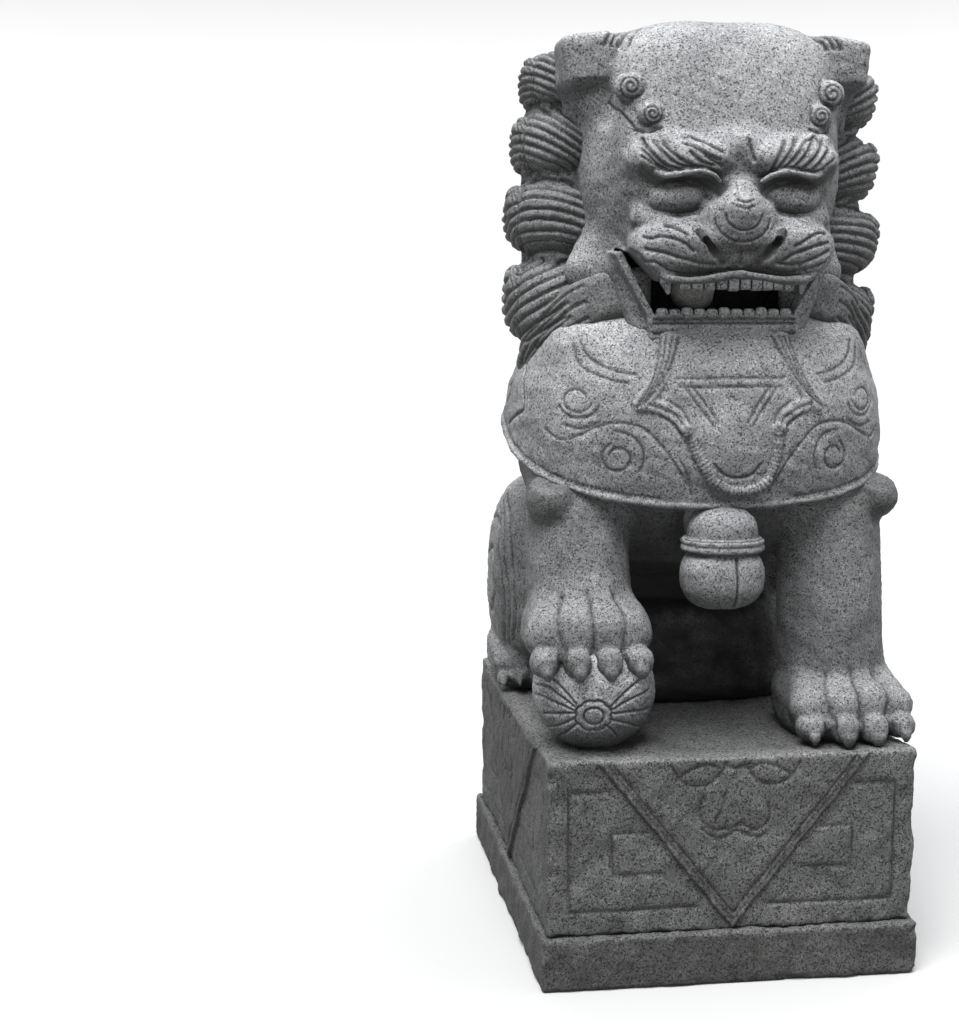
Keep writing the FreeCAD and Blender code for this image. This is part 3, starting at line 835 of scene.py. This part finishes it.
def mane_clay(side):
    """Four overlapping lobes of hair, each with a curl, and the band that joins the lowest to the jaw."""
    low, high = sorted((side * 0.096, side * 0.322))
    clay = Clay((low, -0.26, 0.90), (high, 0.12, 1.46), MEDIUM)
    clay.add(egg((side * 0.200, -0.030, 1.205), (0.074, 0.112, 0.232), 3.4))
    clay.add(egg((side * 0.212, -0.080, 1.000), (0.066, 0.090, 0.062), 2.4), 0.01)
    for lobe in LOBES[side]:
        bottom, top, reach = lobe[:3]
        half = (top - bottom) / 2
        radii = (reach - ROOT[0], DEPTH, half + 0.003)
        clay.add(egg((side * ROOT[0], ROOT[1], bottom + half), radii, 2.7), 0.004)
        centre, radii = lobe_curl(lobe)
        clay.add(egg(on(side, centre), radii, 2.2, (0, side * 14, 0)), 0.002)
    clay.add(limb(mirror([(0.190, -0.165, 1.045), (0.250, -0.110, 0.990)], side), 0.034), 0.006)
    for share in np.linspace(0, 1, 5):
        path = jaw_band(share)
        clay.add(limb(mirror(path, side), np.linspace(0.0150, 0.0100, len(path))), 0.010)
    return clay


def make_mane(side, label):
    skin = sculpt("mane_" + label, mane_clay(side))
    for lobe in LOBES[side]:
        for i in range(-6, STRANDS + 7):
            line = strand(lobe, (i + 0.5) / STRANDS)
            if len(line) > 5:
                skin.part(mirror(curve(line), side), 0.0058, 0.0060)
        for turn in range(4):
            skin.part(mirror(curl_turn(lobe, turn), side), 0.0046, 0.0044)
    for k, share in enumerate((0.05, 0.28, 0.50, 0.72, 0.95)):
        line = curve(jaw_band(share))
        first = len(line) * (3 + k % 2) // 10
        skin.part(mirror(line[first:], side), 0.0048, 0.0040)
    skin.add_shade_and_dirt(0.44)
    skin.weather(0.0007, 21 + side)
    skin.finish(*["mane_lock_%d_%s" % (i, label) for i in (1, 2, 3, 4)], faces=75000)


BACK_CURLS = [((i - (2 + row % 2) / 2) * 0.104, 0.158, 0.985 + 0.101 * row, 0.0)
              for row in range(5) for i in range(3 + row % 2)]
BACK_CURLS += [(side * 0.196, 0.088, 1.02 + 0.105 * row, side) for side in SIDES for row in range(4)]


def make_mane_back():
    """The back of the mane, in rows of snail curls, and hair drawn back over the crown."""
    clay = Clay((-0.250, -0.12, 0.90), (0.250, 0.232, 1.49), MEDIUM)
    clay.add(egg((0, 0.045, 1.205), (0.206, 0.125, 0.262), 4))
    for x, y, z, side in BACK_CURLS:
        clay.add(egg((x, y, z), (0.051, 0.051, 0.051)), 0.003)
        crest = (x + 0.030 * side, y + 0.032 * (1 - abs(side)), z + 0.004)
        clay.add(egg(crest, (0.030, 0.030, 0.030)), 0.012)
    skin = sculpt("mane_back_carved", clay)
    for index, (x, y, z, side) in enumerate(BACK_CURLS):
        away = (side, 1 - 0.6 * abs(side), 0.08)
        hand = -1 if x > 0 else 1
        skin.part(snail((x, y, z), 0.056, away, 2.3, 0.9 * index, hand), 0.0080, 0.0070)
    for k in range(15):
        u = (k - 7) * 0.027
        combed = [(u * (0.85 + 0.15 * t), -0.09 + 0.20 * t, 1.6) for t in np.linspace(0, 1, 120)]
        skin.groove(skin.cast(combed, (0, 0, -1)), 0.008, 0.006, sharp=True)
    skin.add_shade_and_dirt(0.20)
    skin.weather(0.0009, 31)
    skin.finish("mane_back", "mane_back_curls", faces=50000)


# ---- body ----
def edge_height(y):
    """Height of the breast cloth's lower edge, which climbs towards the back."""
    return CLOTH_EDGE + CLOTH_RISE * (y - CLOTH_FRONT)


def cloth_edge(rise=0.0, grow=0.0):
    """Where the cloth's sloping lower edge runs round the chest, or a level a little above it."""
    (cx, cy, cz), (rx, ry, rz) = CHEST
    line = []
    for angle in np.linspace(-math.radians(118), math.radians(118), 181):
        z = CLOTH_EDGE
        for _ in range(25):
            share = (1 - min(1, abs(z - cz) / rz) ** 2.4) ** (1 / 2.4)
            ring = share / (abs(math.sin(angle)) ** 2.4 + abs(math.cos(angle)) ** 2.4) ** (1 / 2.4)
            y = cy - (ry * ring + grow) * math.cos(angle)
            z = 0.5 * z + 0.5 * (edge_height(y) + rise)
        line.append((cx + (rx * ring + grow) * math.sin(angle), y, z))
    return line


def add_toe(clay, root, knuckle, tip, wide):
    """A toe with a high round knuckle and a short blunt claw."""
    x, y, z = tip
    claw = [(x, y - wide * out, z + wide * up) for out, up in ((0.50, 0.05), (0.88, -0.40), (0.90, -0.70))]
    clay.add(limb([root, knuckle], [wide * 1.05, wide * 0.95]), 0.010)
    clay.add(egg(knuckle, (wide, wide * 1.15, wide * 1.05)), 0.006)
    clay.add(egg(tip, (wide * 0.86, wide, wide * 0.86), 2.4), 0.006)
    clay.add(limb(claw, [wide * 0.50, wide * 0.42, wide * 0.28]), 0.002)


def add_toes(clay, places, gather, root, knuckle, tip, wide, fall):
    """Toes side by side; root, knuckle and tip are (depth, up), and the outer toes fall back a little."""
    for i, x in enumerate(places):
        back = fall * abs(i - 1.5)
        foot = x * gather[0] + gather[1]
        add_toe(clay, (foot, *root), (x, knuckle[0] + back, knuckle[1]), (x, tip[0] + back, tip[1]), wide)


def torso_clay():
    """The chest below the cloth, and the two forelegs with their paws."""
    clay = Clay((-0.325, -0.395, PEDESTAL_TOP - 0.012), (0.325, 0.23, 0.96), COARSE)
    clay.add(egg((0, -0.050, 0.830), (0.285, 0.215, 0.215), 2.4))
    # right foreleg, bent over the ball
    clay.add(limb([(-0.212, -0.145, 0.775), (-0.214, -0.185, 0.700), (-0.214, -0.205, 0.610),
                   (-0.212, -0.232, 0.570)], [0.072, 0.080, 0.084, 0.078]), 0.030)
    clay.add(egg((-0.212, -0.252, 0.540), (0.098, 0.088, 0.052), 3), 0.02)
    add_toes(clay, (-0.288, -0.240, -0.191, -0.143), (0.7, -0.065), (-0.245, 0.586), (-0.308, 0.541),
             (-0.340, 0.505), 0.0260, 0.007)
    # left foreleg, straight down to its paw
    clay.add(limb([(0.204, -0.145, 0.775), (0.204, -0.185, 0.700), (0.204, -0.200, 0.560),
                   (0.208, -0.205, 0.440)], [0.072, 0.080, 0.084, 0.086]), 0.030)
    clay.add(egg((0.209, -0.225, 0.405), (0.094, 0.108, 0.056), 3), 0.02)
    add_toes(clay, (0.137, 0.187, 0.237, 0.284), (0.75, 0.052), (-0.240, 0.445), (-0.306, 0.414),
             (-0.330, 0.387), 0.0260, 0.007)
    # elbows stand out from the upper arms like knobs
    clay.eggs((0.266, -0.220, 0.742), (0.037, 0.046, 0.039), soft=0.014)
    clay.add(egg((0, 0.03, 0.690), (0.20, 0.13, 0.11), 3), 0.03)
    clay.keep(lambda x, y, z: meet(z - edge_height(y) - 0.004, FOOT - z))
    return clay


TOE_GAPS = (  # of each forepaw: across, how far the root shifts, then (depth, up) from the root down
    ((-0.264, -0.2155, -0.167), -0.022, (-0.295, 0.604), (-0.310, 0.570), (-0.340, 0.528), (-0.345, 0.490)),
    ((0.162, 0.212, 0.2605), 0.021, (-0.290, 0.470), (-0.310, 0.440), (-0.335, 0.410), (-0.345, 0.370)))


def make_torso():
    skin = sculpt("chest_and_forelegs", torso_clay())
    for places, shift, root, *rest in TOE_GAPS:
        for x in places:
            gap = curve([(x * 0.9 + shift, *root)] + [(x, *point) for point in rest])
            skin.part(gap, 0.0085, 0.0060)
    x, y, z = skin.points.T
    # painted shade: dark between the forelegs, darker further back
    skin.add_shade_and_dirt(1.3 * smooth_step(y, -0.17, -0.07) * fall(np.abs(x), 0.14, 0.19))
    # darker all over, with more painted shade just under the cloth's edge
    skin.add_shade_and_dirt(0.44 + 0.26 * smooth_step(z, 0.700, 0.770))
    # painted shade on the claws, the parts that reach furthest forward
    skin.add_shade_and_dirt(0.62 * fall(y, -0.356, -0.338))
    skin.weather(0.0009, 41)
    skin.finish("chest", "foreleg_right", "forepaw_right", "foreleg_left", "forepaw_left", faces=75000)


def make_hindquarters():
    """The seated rump, with a spiral and sweeping lines on each haunch, and the hind feet."""
    clay = Clay((-0.322, -0.12, PEDESTAL_TOP - 0.012), (0.322, 0.40, 1.02), COARSE)
    clay.add(egg((0, 0.160, 0.610), (0.215, 0.190, 0.285), 2.4, (16, 0, 0)))
    clay.add(egg((0, 0.060, 0.90), (0.190, 0.13, 0.15), 2.4), 0.05)
    clay.add(egg((0.01, 0.120, 0.450), (0.200, 0.170, 0.100), 5), 0.01)
    clay.eggs((0.214, 0.188, 0.548), (0.084, 0.172, 0.188), 2.4, soft=0.012)
    clay.eggs((0.240, 0.200, 0.404), (0.056, 0.130, 0.050), 3, soft=0.008)
    for side in SIDES:
        places = [side * x for x in (0.203, 0.233, 0.263, 0.291)]
        add_toes(clay, places, (1, 0), (0.150, 0.425), (0.098, 0.408), (0.080, 0.386), 0.0160, 0.004)
    clay.keep(lambda x, y, z: FOOT - z)
    skin = sculpt("hindquarters_carved", clay)
    for side in SIDES:
        skin.groove(skin.flank(spiral((0.205, 0.560), 0.105, 1.6, 2.2, -1, 0.15), side), 0.008, 0.005)
        for k in range(3):
            sweep = curve([(0.075 + 0.02 * k, 0.455 - 0.01 * k), (0.055 + 0.02 * k, 0.53),
                           (0.10 + 0.02 * k, 0.66 - 0.012 * k), (0.19, 0.705 - 0.014 * k)])
            skin.groove(skin.flank(sweep, side), 0.006, 0.0035)
    x, y, z = skin.points.T
    inner = fall(y, 0.0, 0.12) * fall(np.abs(x), 0.14, 0.20)
    # slightly darker all over, with painted shade on the front that stands behind the chest and forelegs
    skin.add_shade_and_dirt(0.15 + 0.42 * fall(y, 0.10, 0.26))
    # painted shade, deepest in the middle of the front between the forelegs, darker higher up
    skin.add_shade_and_dirt(inner * (0.95 + 0.45 * smooth_step(z, 0.50, 0.58)))
    skin.weather(0.0013, 51)
    skin.finish("hindquarters", "haunch_right", "haunch_left", "hind_foot_right", "hind_foot_left",
                faces=50000)


def make_tail():
    """A flame-shaped tail laid up the back, in strands that curl outwards at their tips."""
    clay = Clay((-0.16, 0.10, 0.40), (0.16, 0.395, 0.98), MEDIUM)
    clay.add(egg((0, 0.290, 0.68), (0.085, 0.055, 0.240), 2.2, (10, 0, 0)))
    tips = []
    for k in range(4):
        level = 0.60 + 0.085 * k
        tip = (0.118 - 0.016 * k, 0.340 - 0.24 * (level - 0.60), level + 0.004)
        root = (0.006, 0.350 - 0.10 * (level - 0.5), level - 0.15)
        path = curve([root, (0.042, tip[1] + 0.022, level - 0.05), tip], 0.012)
        tips.append(tip)
        clay.limbs(path, np.linspace(0.022, 0.018, len(path)), 0.002)
        clay.eggs(tip, (0.029, 0.026, 0.029), soft=0.003)
    path = curve([(0, 0.350, 0.47), (0, 0.356, 0.62), (0, 0.312, 0.78), (0, 0.235, 0.915)], 0.012)
    clay.add(limb(path, np.linspace(0.034, 0.012, len(path))), 0.003)
    clay.add(egg((0, 0.30, 0.46), (0.055, 0.055, 0.045)), 0.01)
    skin = sculpt("tail_carved", clay)
    for side in SIDES:
        for tip in tips:
            skin.groove(snail(on(side, tip), 0.0285, (side * 0.4, 1, 0.1), 1.9, 0.4, side), 0.0058, 0.0058)
        for k in (1, 3):
            line = curve([(0.009 * k, 0.385, 0.50), (0.008 * k, 0.390, 0.64),
                          (0.006 * k, 0.352, 0.80), (0.003 * k, 0.28, 0.92)])
            skin.part(mirror(line, side), 0.0065, 0.0050)
    skin.weather(0.0008, 61)
    skin.finish("tail", faces=35000)


PETAL_LINES = (  # of the brocade ball, as (across, up), out from the flower on its front
    mm(247, 441, 267, 456, 283, 466, 299, 460), mm(249, 435, 267, 442, 287, 448, 301, 443),
    mm(247, 430, 266, 427, 285, 421), mm(246, 421, 262, 409, 276, 397), mm(241, 413, 252, 399, 261, 384),
    mm(190, 437, 162, 451, 127, 459), mm(190, 431, 157, 431, 124, 427), mm(192, 421, 164, 412, 136, 397),
    mm(200, 413, 189, 404, 178, 391), mm(192, 443, 170, 463, 140, 480), mm(245, 446, 262, 466, 282, 486))


def make_brocade_ball():
    """A ball with a flower on its front, and lines like the ribs of a melon away from it."""
    low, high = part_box("brocade_ball")
    radius = (high.x - low.x) / 2
    centre = np.array(((low.x + high.x) / 2, (low.y + high.y) / 2, high.z - radius))
    clay = Clay(centre - radius - 0.035, centre + radius + 0.035, 1.1 * TINY)
    clay.add(egg(centre, (radius - 0.001,) * 3))
    clay.keep(lambda x, y, z: PEDESTAL_TOP - 0.004 - z)
    skin = sculpt("brocade_ball_carved", clay)
    # less painted shade on the brocade ball
    skin.shade_and_dirt *= 0.4
    for reach, lobes in ((0.026, 0.0025), (0.015, 0.0)):
        ring = []
        for a in np.linspace(0, 2 * math.pi, 150):
            petal = reach + lobes * abs(math.sin(4 * a))
            ring.append((0.218 + petal * math.cos(a), 0.427 + 0.9 * petal * math.sin(a)))
        skin.etch(ring, -1, 0.0034, 0.0030)
    for line in PETAL_LINES:
        skin.etch(curve(line), -1, 0.0034, 0.0032)
    for turn in range(7):  # the same ribs round its back
        angle = math.radians(30 + 20 * turn)
        across, out = math.cos(angle), math.sin(angle)
        rib = [centre + radius * np.array((across * math.cos(a), out * math.cos(a), math.sin(a)))
               for a in np.linspace(-0.9, 1.3, 110)]
        skin.groove(rib, 0.0034, 0.0030)
    skin.weather(0.0006, 71)
    skin.finish("brocade_ball", faces=36000)


def make_bell():
    """A round bell with a slit, under a narrow band and a domed crown that runs into the chest."""
    x, y = -0.006, -0.300
    clay = Clay((-0.09, -0.385, 0.565), (0.085, -0.20, 0.765), TINY)
    clay.add(egg((x, y, 0.629), (0.0650, 0.056, 0.052), 2.4))
    clay.add(egg((x, y + 0.002, 0.695), (0.054, 0.049, 0.044), 2.3), 0.002)
    clay.add(limb([(x, -0.250, 0.700), (x, -0.215, 0.745)], 0.046), 0.012)
    for level, reach in ((0.6835, 0.0580), (0.6735, 0.0585)):
        ring = arc((x, y), (reach, 0.86 * reach), 0, 2 * math.pi, 49)
        clay.add(limb([(u, v, level) for u, v in ring], 0.0068), 0.001)
    skin = sculpt("bell_carved", clay)
    skin.add_shade_and_dirt(0.24)
    slit = curve([(x + 0.009, 0.662), (x + 0.010, 0.630), (x + 0.010, 0.582)])
    skin.etch(slit, 1, 0.0036, 0.0085, sharp=True)
    for level in (0.6930, 0.6650):
        ring = arc((x, y), (0.066, 0.056), -math.pi, 0, 120)
        skin.groove(skin.snap([(u, v, level) for u, v in ring]), 0.0032, 0.0022)
    skin.weather(0.0005, 81)
    skin.finish("bell", "bell_band", faces=26000)


# ---- breast cloth ----
WAVE = mm(67, 772, 85, 802, 107, 832, 135, 859, 166, 867, 197, 862, 227, 845, 249, 838, 270, 852)
HORNS = (mm(72, 858, 84, 876, 104, 888, 126, 895), mm(76, 846, 91, 866, 112, 880),
         mm(66, 868, 76, 886, 94, 899))
RIBBON = mm(88, 994, 100, 957, 114, 928, 137, 895)
MASK_RING = curve(mm(-74, 860, -60, 833, -45, 805, -28, 778, -4, 765, 20, 763, 45, 769, 61, 786, 70, 815,
                     76, 860), 0.006)
CLOTH_LINES = (  # waves, arcs over the shoulder, cheeks of the mask, spirals and the border under the jaw
    WAVE, mm(197, 868, 222, 856, 247, 862), mm(60, 757, 69, 790, 80, 812),
    mm(228, 983, 220, 953, 187, 934, 155, 927), mm(217, 990, 207, 965, 177, 947, 143, 940),
    mm(70, 918, 51, 892, 31, 864), mm(58, 919, 41, 896, 23, 870), *HORNS,
    spiral((0.171, 0.813), 0.024, 1.15, 1.2, -1, 0.55), spiral((0.171, 0.813), 0.040, 0.35, 1.5, 1, 0.9),
    spiral((0.228, 0.900), 0.020, 0.9, 3.4, 1, 0.7), spiral((0.228, 0.900), 0.031, 0.4, 3.4, 1, 0.8),
    mm(0, 935, 21, 935, 42, 935, 63, 935, 84, 935), mm(0, 922, 20, 922, 40, 922, 60, 922, 80, 922))


def cloth_clay():
    """The cape over the chest and shoulders, down to its sloping edge, with the mask on its front."""
    clay = Clay((-0.325, -0.40, 0.70), (0.325, 0.16, 1.09), MEDIUM)
    clay.add(egg(*CHEST, 2.4))
    clay.eggs((0.174, -0.145, 0.953), (0.091, 0.096, 0.080), 2.2, soft=0.012)
    clay.keep(lambda x, y, z: meet(edge_height(y) - z, y - 0.13))
    clay.cut(form(lambda x, y, z: meet(np.abs(x) - jaw_half(z) + 0.012, 0.995 - z, -0.258 - y),
                  (-0.16, -0.26, 0.99), (0.16, 0.13, 1.09)))
    clay.add(limb(cloth_edge(0.004)[::2], 0.0046), 0.002)
    # the mask: a blunt snout inside a rolled ring
    clay.add(egg((0.008, -0.300, 0.822), (0.058, 0.032, 0.066), 2.6), 0.014)
    radii = 0.0055 + 0.0045 * np.sin(np.linspace(0.15, math.pi - 0.15, len(MASK_RING)))
    clay.add(limb([(u, -0.3215, v) for u, v in MASK_RING], radii), 0.002)
    return clay


def carve_cloth_side(skin, side):
    """Scrolls, spirals, horns, ribbon and arcs on one half of the cloth."""
    skin.welt(skin.front(curve(HORNS[0]), side), 0.0120, 0.0035)
    skin.welt(skin.front(curve(RIBBON), side), 0.0135, 0.0050)
    for shift, width in ((-0.0135, 0.0034), (-0.0045, 0.0030), (0.0045, 0.0030), (0.0135, 0.0034)):
        line = [(u + shift * (1 - 0.18 * k), v - 0.3 * shift * k / 3) for k, (u, v) in enumerate(RIBBON)]
        skin.etch(curve(line), side, width, 0.0030, sharp=True)
    for line in CLOTH_LINES:
        skin.etch(curve(line), side, 0.0036, 0.0028, sharp=True)
    hook = curve(mm(-55, 985, -100, 955, -135, 915, -150, 880, -115, 866, -75, 850))
    skin.groove(skin.flank(hook, side), 0.0040, 0.0032)
    for turn in (-1, 1):
        coil = spiral((-0.020, 0.925 + 0.012 * turn), 0.036, 1.3, 1.0 + turn, turn, 0.3)
        skin.groove(skin.flank(coil, side), 0.0042, 0.0034)


def make_cloth():
    skin = sculpt("breast_cloth_carved", cloth_clay())
    for side in SIDES:
        carve_cloth_side(skin, side)
    rim = [p for p in cloth_edge(0.0160, 0.001) if abs(p[0]) > 0.075]
    skin.groove(skin.snap(rim), 0.0036, 0.0032)
    skin.etch(curve(mm(-30, 806, -14, 789, 8, 783, 30, 789, 46, 806)), 1, 0.0040, 0.0030)
    # fine cuts across the rolled ring of the mask
    for before, place, after in zip(MASK_RING, MASK_RING[1:], MASK_RING[2:]):
        along = (after - before) / np.linalg.norm(after - before)
        cut = [place + r * np.array((-along[1], along[0])) for r in np.linspace(-0.009, 0.009, 9)]
        # these cuts get a little less painted shade
        skin.etch(cut, 1, 0.0026, 0.0018, shade_and_dirt_share=0.7)
    x, y, z = skin.points.T
    # painted shade along the cloth's lower edge
    skin.add_shade_and_dirt(0.35 * smooth_step(edge_height(y) - z, -0.012, -0.004))
    skin.weather(0.0008, 91)
    skin.finish("breast_cloth", "cloth_mask", "collar_ribbon_right", "collar_ribbon_left", faces=90000)


# ---- base ----
FRETS = (mm(58, 124, 256, 124, 258, 311, 193, 311), mm(112, 180, 188, 180, 191, 246, 137, 246))
LEAVES = (mm(102, 352, 86, 328, 62, 318, 38, 322, 20, 342, 14, 352), mm(88, 332, 66, 345, 42, 350, 24, 344))
PEACH = (
    mm(-49, 302, -55, 286, -52, 265, -37, 250, -18, 248, 1, 252, 10, 257, 26, 247, 42, 248, 54, 265, 51, 290),
    mm(-53, 252, -34, 237, -18, 235, 2, 245, 18, 239, 38, 233, 50, 240),
    mm(-16, 305, -22, 280, -31, 261), mm(-19, 352, 0, 344, 24, 351))
HEM = 0.020


def apron(node, axis, sign):
    """A pointed apron over one face of the pedestal; axis is the face's normal, 0 for X or 1 for Y."""
    low, high = (np.array(corner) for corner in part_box(node))
    wide = high[1 - axis]
    length = math.hypot(wide, high[2] - low[2])
    face = max(abs(low[axis]), abs(high[axis]))

    def distance(x, y, z):
        across, out = (x, y) if axis else (y, x)
        edge = (np.abs(across) * (high[2] - low[2]) - (z - low[2]) * wide) / length
        return meet(edge, z - high[2] - 0.004, sign * out - face, face - 0.03 - sign * out)
    return form(distance, low - 0.03, high + 0.03)


def on_face(points, side, axis, out):
    """(across, up) points on one face of the pedestal."""
    flat = [(side * u, v) for u, v in points]
    return [(u, out, v) for u, v in flat] if axis else [(out, u, v) for u, v in flat]


def chip_edges(clay, low, high, seed, count, size):
    """Knocks small pieces off the upright and level edges of a block."""
    generator = np.random.default_rng(seed)
    for _ in range(count):
        spot = [generator.choice((a, b)) for a, b in zip(low, high)]
        free = generator.integers(3)
        spot[free] = generator.uniform(low[free], high[free])
        radii = size * generator.uniform(0.5, 1.3, 3)
        radii[free] *= 2.2
        clay.cut(egg(spot, radii), 0.002)


def carve_face_of_pedestal(skin, node, axis, sign):
    """The apron's hem and pictures, and the frets in the corners that it leaves."""
    low, high = (np.array(corner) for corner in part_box(node))
    face = sign * max(abs(low[axis]), abs(high[axis]))
    wide, drop = high[1 - axis], high[2] - low[2]
    slope = drop / wide
    stretch = wide / 0.213
    for side in SIDES:
        for inset, depth in ((HEM, 0.0030), (HEM * 0.62, 0.0014)):
            hem = straight([(wide - inset, high[2]), (0, low[2] + inset * slope)], 0.002)
            skin.groove(on_face(hem, side, axis, face), 0.0036, depth)
        for line in FRETS:
            fret = straight([(u * stretch, v) for u, v in line], 0.002)
            skin.groove(on_face(fret, side, axis, face * 0.981), 0.0038, 0.0024)
        for line in LEAVES:
            skin.groove(on_face(curve(line, 0.002), side, axis, face), 0.0036, 0.0026)
    for line in PEACH:
        skin.groove(on_face(curve(line, 0.002), 1, axis, face), 0.0036, 0.0026)


FACES = (("apron_front", 1, -1), ("apron_back", 1, 1), ("apron_right", 0, -1), ("apron_left", 0, 1))


def make_pedestal():
    low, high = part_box("pedestal_block")
    clay = Clay(np.array(low) - 0.04, np.array(high) + 0.04, COARSE)
    clay.add(slab(low, high, 0.0045))
    chip_edges(clay, low, high, 5, 26, 0.007)
    for node, axis, sign in FACES:
        clay.add(apron(node, axis, sign), 0.0012)
    clay.keep(slab(np.array(low) - 0.008, (high.x + 0.008, high.y + 0.008, high.z + 0.001), 0.004)[0])
    skin = sculpt("pedestal_carved", clay)
    for node, axis, sign in FACES:
        carve_face_of_pedestal(skin, node, axis, sign)
    x, y, z = skin.points.T
    # painted shadow of the lion on the pedestal top, away from its edges
    inset = np.minimum(0.285 - np.abs(x), 0.365 - np.abs(y))
    under = smooth_step(z, 0.350, 0.358) * smooth_step(inset, 0.0, 0.05)
    skin.add_shade_and_dirt(0.42 * under)
    # painted shade on the pedestal's right side
    skin.add_shade_and_dirt(0.50 * fall(x, -0.295, -0.285))
    skin.weather(0.0010, 101)
    skin.finish("pedestal_block", *[node for node, _, _ in FACES], faces=80000, slot="granite_base")


def make_plinth():
    low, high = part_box("plinth_course")
    clay = Clay(np.array(low) - 0.035, np.array(high) + 0.035, 1.1 * COARSE)
    clay.add(slab(low, high, 0.007))
    chip_edges(clay, low, high, 6, 30, 0.008)
    skin = sculpt("plinth_carved", clay)
    skin.add_shade_and_dirt(0.46)
    skin.weather(0.0013, 111)
    skin.raised[skin.points[:, 2] < 0.004] = 0
    skin.finish("plinth_course", faces=25000, slot="granite_base")


# ---- stage, light and camera ----
def make_stage():
    bpy.ops.mesh.primitive_plane_add(size=80, location=(0, 0, 0))
    floor = bpy.context.object
    floor.name = "floor"
    n = Nodes("pale_floor")
    n.shader.inputs["Base Color"].default_value = (0.56, 0.56, 0.56, 1)
    n.shader.inputs["Roughness"].default_value = 0.9
    floor.data.materials.append(n.material)


def soft_sun(name, come_from, spread, strength):
    light = bpy.data.lights.new(name, "SUN")
    light.angle = math.radians(spread)
    light.energy = strength
    lamp = bpy.data.objects.new(name, light)
    lamp.rotation_euler = (-Vector(come_from)).to_track_quat("-Z", "Y").to_euler()
    bpy.context.scene.collection.objects.link(lamp)


def make_light():
    """A big soft light overhead, and pale walls all round at the height of the horizon."""
    soft_sun("key", (-0.42, -0.64, 1.45), 40, 4.6)
    soft_sun("top", (0.35, 0.25, 1.30), 60, 1.2)
    world = bpy.data.worlds.new("studio")
    world.use_nodes = True
    tree = world.node_tree
    direction = tree.nodes.new("ShaderNodeTexCoord").outputs["Generated"]
    height = tree.nodes.new("ShaderNodeSeparateXYZ")
    tree.links.new(direction, height.inputs[0])
    band = tree.nodes.new("ShaderNodeValToRGB")
    band.color_ramp.elements[0].position = 0.14
    band.color_ramp.elements[0].color = (1.0, 1.0, 1.0, 1)
    band.color_ramp.elements[1].position = 0.32
    band.color_ramp.elements[1].color = (0.30, 0.31, 0.33, 1)
    tree.links.new(height.outputs["Z"], band.inputs["Fac"])
    tree.links.new(band.outputs["Color"], tree.nodes["Background"].inputs["Color"])
    tree.nodes["Background"].inputs["Strength"].default_value = 1.0
    bpy.context.scene.world = world
    bpy.context.scene.view_settings.view_transform = "Standard"


def make_camera():
    """Standing in front of the lion, a little to its right and at the height of its chin."""
    camera = bpy.data.cameras.new("camera")
    camera.lens = 58.8
    camera.sensor_width = 36
    eye = bpy.data.objects.new("camera", camera)
    eye.location = (-0.716, -2.783, 1.066)
    eye.rotation_euler = (math.radians(90 - 7.53), 0, math.radians(-7.6))
    bpy.context.scene.collection.objects.link(eye)
    bpy.context.scene.camera = eye


make_head()
make_teeth()
make_mouth_ball()
for side, label in zip(SIDES, ("right", "left")):
    make_mane(side, label)
make_mane_back()
make_torso()
make_hindquarters()
make_tail()
make_brocade_ball()
make_bell()
make_cloth()
make_pedestal()
make_plinth()
make_stage()
make_light()
make_camera()
